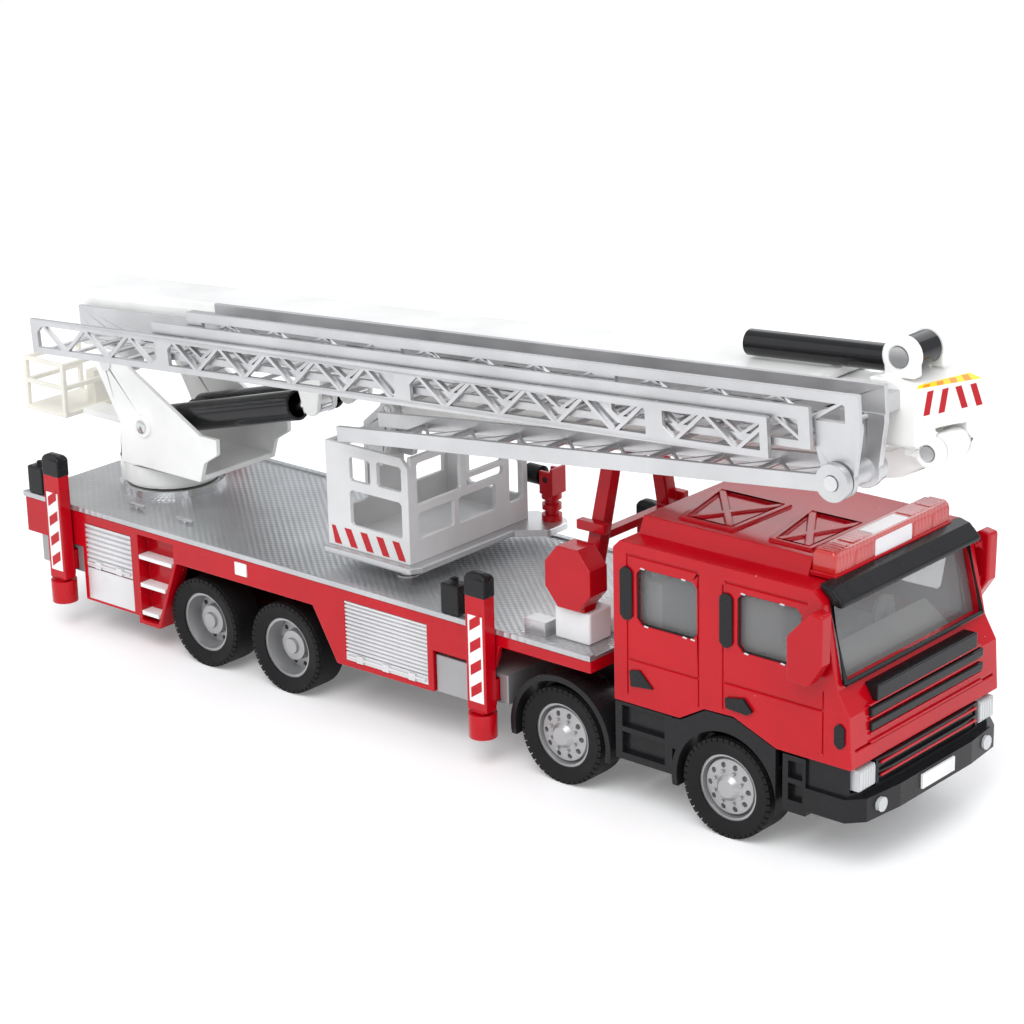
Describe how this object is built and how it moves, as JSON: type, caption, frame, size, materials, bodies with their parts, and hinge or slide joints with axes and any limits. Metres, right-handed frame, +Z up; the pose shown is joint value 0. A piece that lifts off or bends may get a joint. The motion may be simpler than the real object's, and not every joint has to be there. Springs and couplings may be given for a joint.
{
  "type": "toy ladder fire engine",
  "caption": "Toy crew-cab fire engine on truck axles with a slewing telescopic boom, nested ladders beside it, folded jib arm and a rescue cage.",
  "frame": {"origin": "on the ground, under the middle of the overall box", "axes": "+X forwards along the truck, +Y to the truck's left, +Z up"},
  "size_m": [0.2482, 0.0596, 0.0969],
  "materials": {
    "red_paint": "glossy red enamel on a die-cast shell",
    "white_paint": "satin white enamel",
    "black_frame": "satin black",
    "black_plastic": "satin black moulding",
    "red_plastic": "glossy red moulding",
    "white_plastic": "satin off-white moulding",
    "pale_plastic": "pale grey-beige moulding",
    "grey_plastic": "mid grey moulding",
    "silver_plastic": "silver-coated moulding",
    "silver_slats": "satin silver slats",
    "tread_plate": "satin silver tread plate",
    "ladder_silver": "satin silver",
    "rim_silver": "bright silver rims on a steel shaft",
    "grey_metal": "satin mid grey",
    "black_metal": "glossy black cylinder",
    "bright_chrome": "polished chrome",
    "steel": "bright steel pins and screws",
    "tyre_rubber": "matt black tyres",
    "clear_glazing": "clear moulded glazing",
    "clear_lens": "clear lamp lenses",
    "red_lens": "translucent red lens"
  },
  "bodies": {
    "truck": {"chassis_frame": "black_frame", "body_shell": "red_paint", "deck_plate": "tread_plate", "roller_shutters": "silver_slats", "side_steps": "white_plastic", "cab_shell": "red_paint", "cab_glazing": "clear_glazing", "cab_interior": "grey_plastic", "light_bar": "red_lens", "cab_trim": "black_plastic", "sun_visor": "black_plastic", "mirrors": "red_plastic", "front_bumper": "black_plastic", "grille": "black_plastic", "lamps": "clear_lens", "number_plate": "white_plastic", "tail_lamps": "red_lens", "ladder_rest": "red_plastic", "pump_block": "white_plastic", "pump_cover": "red_plastic", "deck_fittings": "silver_plastic", "stabiliser_housings": "grey_metal", "control_boxes": "black_plastic", "turntable_ring": "bright_chrome", "chassis_screws": "steel"},
    "axle_1": {"wheelset_1": "rim_silver", "tyres_1": "tyre_rubber"},
    "axle_2": {"wheelset_2": "rim_silver", "tyres_2": "tyre_rubber"},
    "axle_3": {"wheelset_3": "rim_silver", "tyres_3": "tyre_rubber"},
    "axle_4": {"wheelset_4": "rim_silver", "tyres_4": "tyre_rubber"},
    "beam_front_right": {"stabiliser_front_right": "red_plastic"},
    "leg_front_right": {"foot_front_right": "red_plastic"},
    "beam_front_left": {"stabiliser_front_left": "red_plastic"},
    "leg_front_left": {"foot_front_left": "red_plastic"},
    "beam_rear_right": {"stabiliser_rear_right": "red_plastic"},
    "leg_rear_right": {"foot_rear_right": "red_plastic"},
    "beam_rear_left": {"stabiliser_rear_left": "red_plastic"},
    "leg_rear_left": {"foot_rear_left": "red_plastic"},
    "turntable": {"pedestal": "white_paint", "pivot_pins": "steel", "operator_cage": "pale_plastic"},
    "barrels": {"lift_barrels": "black_metal"},
    "rods": {"lift_rods": "bright_chrome"},
    "boom": {"boom_outer": "white_paint", "ladder_section_1": "ladder_silver"},
    "middle_ladder": {"ladder_section_2": "ladder_silver"},
    "telescope": {"boom_inner": "white_paint", "boom_head": "white_paint", "ladder_section_3": "ladder_silver", "head_pins": "steel", "top_cylinder": "black_metal"},
    "arm": {"jib_arm": "white_paint"},
    "arm_ladder": {"jib_ladder": "ladder_silver"},
    "basket": {"basket_cage": "white_plastic", "basket_rim": "silver_plastic", "monitor_body": "red_plastic"},
    "nozzle": {"monitor_nozzle": "black_plastic"}
  },
  "joints": [
    {"name": "axle_1_spin", "type": "hinge", "parent": "truck", "child": "axle_1", "pos_m": [0.08993, 0, 0.01], "axis": [0, 1, 0], "continuous": true},
    {"name": "axle_2_spin", "type": "hinge", "parent": "truck", "child": "axle_2", "pos_m": [0.04992, 0, 0.01], "axis": [0, 1, 0], "continuous": true},
    {"name": "axle_3_spin", "type": "hinge", "parent": "truck", "child": "axle_3", "pos_m": [-0.02567, 0, 0.01], "axis": [0, 1, 0], "continuous": true},
    {"name": "axle_4_spin", "type": "hinge", "parent": "truck", "child": "axle_4", "pos_m": [-0.05038, 0, 0.01], "axis": [0, 1, 0], "continuous": true},
    {"name": "beam_front_right_slide", "type": "slide", "parent": "truck", "child": "beam_front_right", "axis": [0, -1, 0], "range_m": [0, 0.016]},
    {"name": "foot_front_right_slide", "type": "slide", "parent": "beam_front_right", "child": "leg_front_right", "axis": [0, 0, -1], "range_m": [0, 0.0062]},
    {"name": "beam_front_left_slide", "type": "slide", "parent": "truck", "child": "beam_front_left", "axis": [0, 1, 0], "range_m": [0, 0.016]},
    {"name": "foot_front_left_slide", "type": "slide", "parent": "beam_front_left", "child": "leg_front_left", "axis": [0, 0, -1], "range_m": [0, 0.0062]},
    {"name": "beam_rear_right_slide", "type": "slide", "parent": "truck", "child": "beam_rear_right", "axis": [0, -1, 0], "range_m": [0, 0.016]},
    {"name": "foot_rear_right_slide", "type": "slide", "parent": "beam_rear_right", "child": "leg_rear_right", "axis": [0, 0, -1], "range_m": [0, 0.0062]},
    {"name": "beam_rear_left_slide", "type": "slide", "parent": "truck", "child": "beam_rear_left", "axis": [0, 1, 0], "range_m": [0, 0.016]},
    {"name": "foot_rear_left_slide", "type": "slide", "parent": "beam_rear_left", "child": "leg_rear_left", "axis": [0, 0, -1], "range_m": [0, 0.0062]},
    {"name": "turntable_spin", "type": "hinge", "parent": "truck", "child": "turntable", "pos_m": [-0.08407, 0, 0.03], "axis": [0, 0, 1], "continuous": true},
    {"name": "boom_lift", "type": "hinge", "parent": "turntable", "child": "boom", "pos_m": [-0.09108, 0, 0.0585], "axis": [0, -1, 0], "range_deg": [0, 55]},
    {"name": "lift_barrel_tilt", "type": "hinge", "parent": "turntable", "child": "barrels", "pos_m": [-0.07967, 0, 0.046], "axis": [0, -1, 0], "range_deg": [0, 57]},
    {"name": "lift_rod_tilt", "type": "hinge", "parent": "boom", "child": "rods", "pos_m": [-0.03047, 0, 0.0588], "axis": [0, -1, 0], "range_deg": [0, 2]},
    {"name": "telescope_slide", "type": "slide", "parent": "boom", "child": "telescope", "axis": [0.9976, 0, 0.0698], "range_m": [0, 0.035]},
    {"name": "middle_ladder_slide", "type": "slide", "parent": "boom", "child": "middle_ladder", "axis": [0.9976, 0, 0.0698], "range_m": [0, 0.018]},
    {"name": "arm_hinge", "type": "hinge", "parent": "telescope", "child": "arm", "pos_m": [0.12096, 0, 0.07694], "axis": [0, -1, 0], "range_deg": [0, 28]},
    {"name": "arm_ladder_hinge", "type": "hinge", "parent": "telescope", "child": "arm_ladder", "pos_m": [0.11232, -0.017, 0.07423], "axis": [0, -1, 0], "range_deg": [0, 28]},
    {"name": "basket_level", "type": "hinge", "parent": "arm", "child": "basket", "pos_m": [-0.01107, 0, 0.0606], "axis": [0, -1, 0], "range_deg": [-83, 0]},
    {"name": "nozzle_tilt", "type": "hinge", "parent": "basket", "child": "nozzle", "pos_m": [0.00932, 0.0226, 0.0426], "axis": [0, -1, 0], "range_deg": [-50, 20]}
  ],
  "couplings": [
    {"joint": "lift_barrel_tilt", "follows": "boom_lift", "ratio": 1.02},
    {"joint": "lift_rod_tilt", "follows": "boom_lift", "ratio": 0.02},
    {"joint": "middle_ladder_slide", "follows": "telescope_slide", "ratio": 0.5},
    {"joint": "arm_hinge", "follows": "boom_lift", "ratio": 0.5},
    {"joint": "arm_ladder_hinge", "follows": "boom_lift", "ratio": 0.5},
    {"joint": "basket_level", "follows": "boom_lift", "ratio": -1.5}
  ]
}
